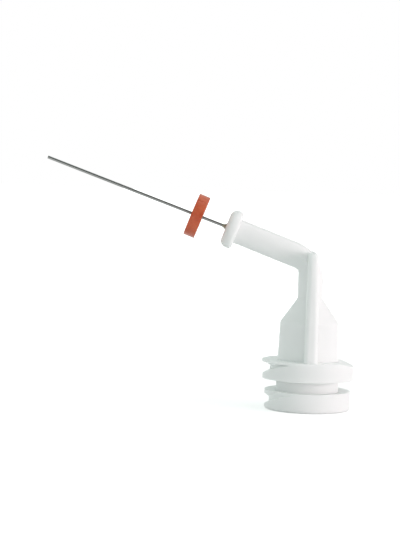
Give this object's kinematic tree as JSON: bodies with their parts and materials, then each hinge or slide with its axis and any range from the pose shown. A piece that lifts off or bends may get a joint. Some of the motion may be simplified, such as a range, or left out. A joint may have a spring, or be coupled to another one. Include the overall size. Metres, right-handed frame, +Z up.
{
  "type": "endodontic irrigation tip",
  "caption": "Bent hollow hub with a coarse thread, grip wings and a flange, a thin blunt cannula glued into its arm, and a rubber stop that slides on the cannula",
  "frame": {"origin": "centre of the socket's mouth, on the base's rim and the hub's axis", "axes": "+Z runs up the hub from the socket's mouth, the arm and the cannula point towards -X and upwards in the XZ plane, and the grip wings lie across along Y"},
  "size_m": [0.027, 0.008, 0.0212],
  "materials": {
    "hub_plastic": "white polypropylene, slightly translucent, as moulded",
    "cannula_steel": "drawn stainless steel tube",
    "adhesive": "cured dark adhesive, glossy",
    "stop_rubber": "orange-red silicone rubber, satin"
  },
  "bodies": {
    "tip": {"hub": "hub_plastic", "cannula": "cannula_steel", "adhesive_bead": "adhesive"},
    "stop": {"rubber_stop": "stop_rubber"}
  },
  "joints": [
    {"name": "stop_slide", "type": "slide", "parent": "tip", "child": "stop", "axis": [-0.9421, 0, 0.3355], "range_m": [-0.0018, 0.0132]}
  ]
}
